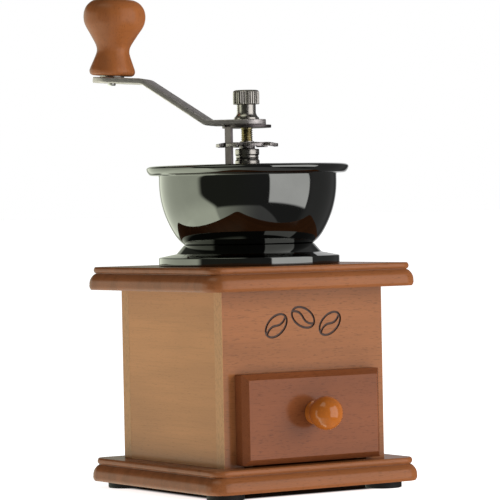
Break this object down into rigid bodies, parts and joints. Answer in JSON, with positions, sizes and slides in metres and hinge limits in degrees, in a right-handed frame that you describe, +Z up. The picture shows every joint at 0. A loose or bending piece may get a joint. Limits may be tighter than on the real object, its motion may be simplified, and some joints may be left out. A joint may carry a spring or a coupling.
{
  "type": "coffee grinder mill",
  "caption": "Hand-cranked box coffee mill: moulded wooden box with a drawer, black chrome hopper bowl, notched grind adjuster and a bent crank with a turned grip.",
  "frame": {"origin": "on the ground under the centre of the square box, where the grinding axis meets the surface the feet stand on", "axes": "+Z up along the grinding shaft, +X to the right seen from the front, -Y out of the drawer's front"},
  "size_m": [0.1059, 0.1178, 0.2113],
  "materials": {
    "moulding_wood": "satin lacquer",
    "front_wood": "satin lacquer",
    "side_wood": "satin lacquer",
    "drawer_wood": "satin lacquer",
    "inner_wood": "bare, sanded",
    "knob_wood": "gloss lacquer",
    "grip_wood": "satin lacquer",
    "black_chrome": "polished black chrome",
    "dark_steel": "polished dark nickel",
    "thread_brass": "yellow passivated",
    "screw_steel": "zinc plated",
    "spring_steel": "drawn wire",
    "burr_iron": "cast and ground",
    "foot_rubber": "matte"
  },
  "bodies": {
    "box": {"base_board": "moulding_wood", "top_board": "moulding_wood", "front_panel": "front_wood", "back_panel": "front_wood", "left_panel": "side_wood", "right_panel": "side_wood", "corner_blocks": "inner_wood", "block_screws": "screw_steel", "base_screws": "screw_steel", "rubber_feet": "foot_rubber", "drawer_guides": "inner_wood", "drawer_stop": "inner_wood", "hopper_bowl": "black_chrome", "hopper_foot": "black_chrome", "bridge_screws": "screw_steel", "bowl_screws": "screw_steel", "upper_bridge": "dark_steel", "bridge_bush": "dark_steel", "lower_bridge": "screw_steel", "lower_bridge_screws": "screw_steel", "lower_bush": "thread_brass", "outer_burr": "burr_iron"},
    "adjuster": {"adjusting_wheel": "dark_steel"},
    "spindle": {"shaft": "thread_brass", "stopper_plate": "dark_steel", "crank_arm": "dark_steel", "cap_nut": "dark_steel", "grip_washer": "dark_steel", "grip_pin": "screw_steel", "inner_burr": "burr_iron", "burr_washer": "screw_steel", "burr_nut": "screw_steel", "burr_spring": "spring_steel"},
    "grip": {"grip": "grip_wood", "grip_plug": "grip_wood"},
    "drawer": {"drawer_front": "drawer_wood", "drawer_left_side": "inner_wood", "drawer_right_side": "inner_wood", "drawer_back": "inner_wood", "drawer_bottom": "inner_wood", "drawer_knob": "knob_wood", "drawer_knob_screw": "screw_steel"}
  },
  "joints": [
    {"name": "crank_spin", "type": "hinge", "parent": "box", "child": "adjuster", "pos_m": [0, 0, 0.1463], "axis": [0, 0, 1], "continuous": true},
    {"name": "grind_setting", "type": "slide", "parent": "adjuster", "child": "spindle", "axis": [0, 0, 1], "range_m": [-0.0008, 0.0004], "deforming": ["burr_spring"]},
    {"name": "grip_spin", "type": "hinge", "parent": "spindle", "child": "grip", "pos_m": [-0.04126, 0.04273, 0.1759], "axis": [0.0436, -0.0452, 0.998], "continuous": true},
    {"name": "drawer_slide", "type": "slide", "parent": "box", "child": "drawer", "axis": [0, -1, 0], "range_m": [0, 0.055]}
  ]
}
